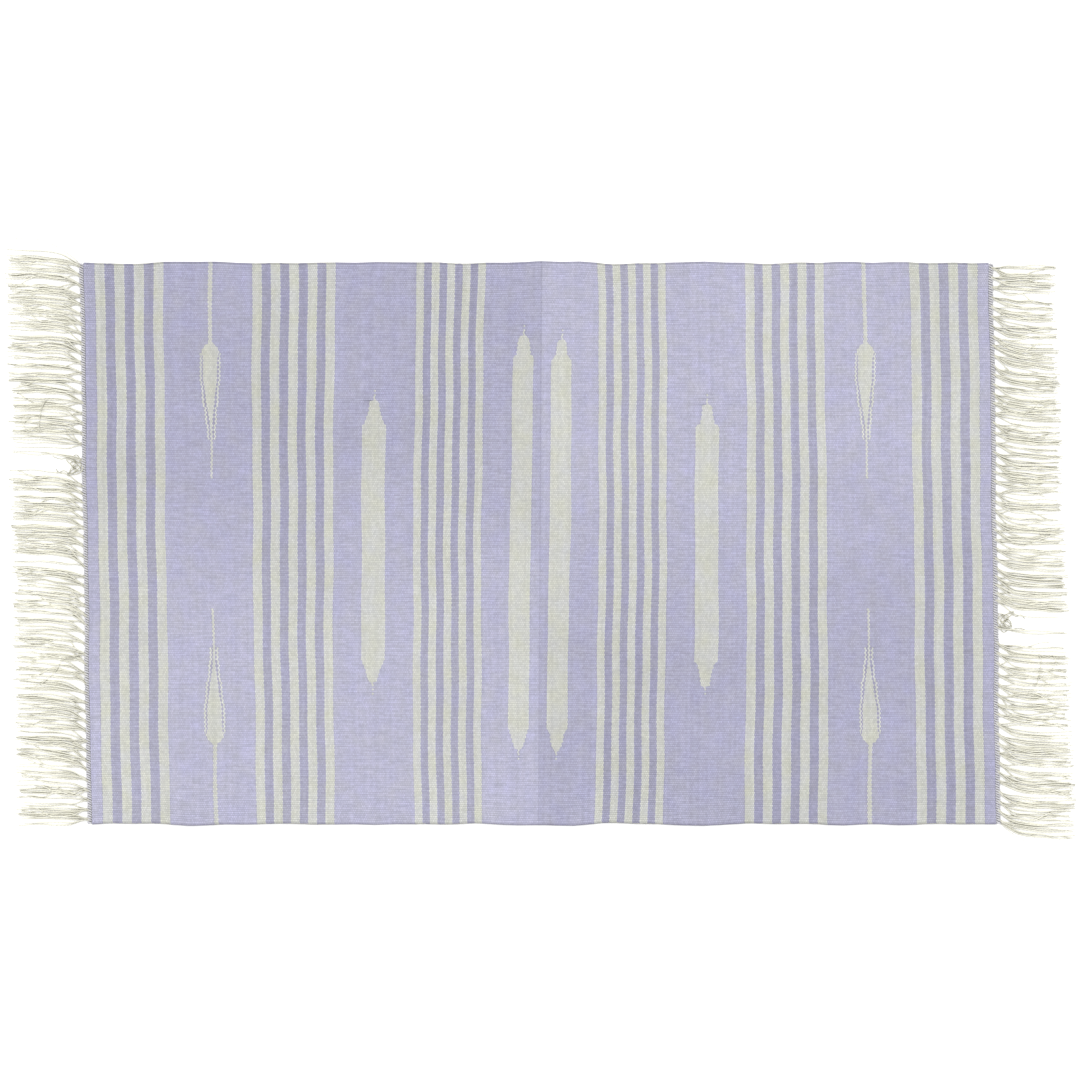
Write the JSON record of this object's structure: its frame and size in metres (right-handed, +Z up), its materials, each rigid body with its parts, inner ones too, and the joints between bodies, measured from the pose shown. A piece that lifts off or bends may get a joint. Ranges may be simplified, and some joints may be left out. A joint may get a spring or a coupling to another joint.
{
  "type": "bath mat",
  "caption": "Flat-woven cotton bath mat with cross stripes, inlaid bar and teardrop motifs, twined headers and fringed ends; folds in half.",
  "frame": {"origin": "on the floor, under the middle of the mat", "axes": "+X along the warps towards the right fringe, +Y across the mat towards the back selvedge, +Z up"},
  "size_m": [1.0018, 0.5578, 0.0048],
  "materials": {
    "lavender_weft": "matte",
    "cream_weft": "matte",
    "undyed_warp": "matte",
    "twining_cord": "matte"
  },
  "bodies": {
    "left_half": {"centre_bar_left": "cream_weft", "ground_weft_left": "lavender_weft", "header_twining_left": "twining_cord", "selvedge_cord_back_left": "undyed_warp", "selvedge_cord_front_left": "undyed_warp", "side_bar_left": "cream_weft", "stripe_01": "cream_weft", "stripe_02": "cream_weft", "stripe_03": "cream_weft", "stripe_04": "cream_weft", "stripe_05": "cream_weft", "stripe_06": "cream_weft", "stripe_07": "cream_weft", "stripe_08": "cream_weft", "stripe_09": "cream_weft", "stripe_10": "cream_weft", "stripe_11": "cream_weft", "stripe_12": "cream_weft", "stripe_13": "cream_weft", "stripe_14": "cream_weft", "teardrop_back_left": "cream_weft", "teardrop_front_left": "cream_weft", "twining_knot_left": "twining_cord", "warp_sheet_left": "undyed_warp"},
    "right_half": {"centre_bar_right": "cream_weft", "ground_weft_right": "lavender_weft", "header_twining_right": "twining_cord", "selvedge_cord_back_right": "undyed_warp", "selvedge_cord_front_right": "undyed_warp", "side_bar_right": "cream_weft", "stripe_15": "cream_weft", "stripe_16": "cream_weft", "stripe_17": "cream_weft", "stripe_18": "cream_weft", "stripe_19": "cream_weft", "stripe_20": "cream_weft", "stripe_21": "cream_weft", "stripe_22": "cream_weft", "stripe_23": "cream_weft", "stripe_24": "cream_weft", "stripe_25": "cream_weft", "stripe_26": "cream_weft", "stripe_27": "cream_weft", "stripe_28": "cream_weft", "teardrop_back_right": "cream_weft", "teardrop_front_right": "cream_weft", "twining_knot_right": "twining_cord", "warp_sheet_right": "undyed_warp"},
    "fringe_left": {"tassels_left_1": "undyed_warp", "tassels_left_2": "undyed_warp", "tassels_left_3": "undyed_warp", "tassels_left_4": "undyed_warp", "tassels_left_5": "undyed_warp"},
    "fringe_right": {"tassels_right_1": "undyed_warp", "tassels_right_2": "undyed_warp", "tassels_right_3": "undyed_warp", "tassels_right_4": "undyed_warp", "tassels_right_5": "undyed_warp"}
  },
  "joints": [
    {"name": "centre_fold", "type": "hinge", "parent": "left_half", "child": "right_half", "pos_m": [0, 0, 0.0032], "axis": [0, -1, 0], "range_deg": [0, 180]},
    {"name": "fringe_left_droop", "type": "hinge", "parent": "left_half", "child": "fringe_left", "pos_m": [-0.43585, 0, 0.00075], "axis": [0, -1, 0], "range_deg": [0, 90]},
    {"name": "fringe_right_droop", "type": "hinge", "parent": "right_half", "child": "fringe_right", "pos_m": [0.43585, 0, 0.00075], "axis": [0, 1, 0], "range_deg": [0, 90]}
  ]
}
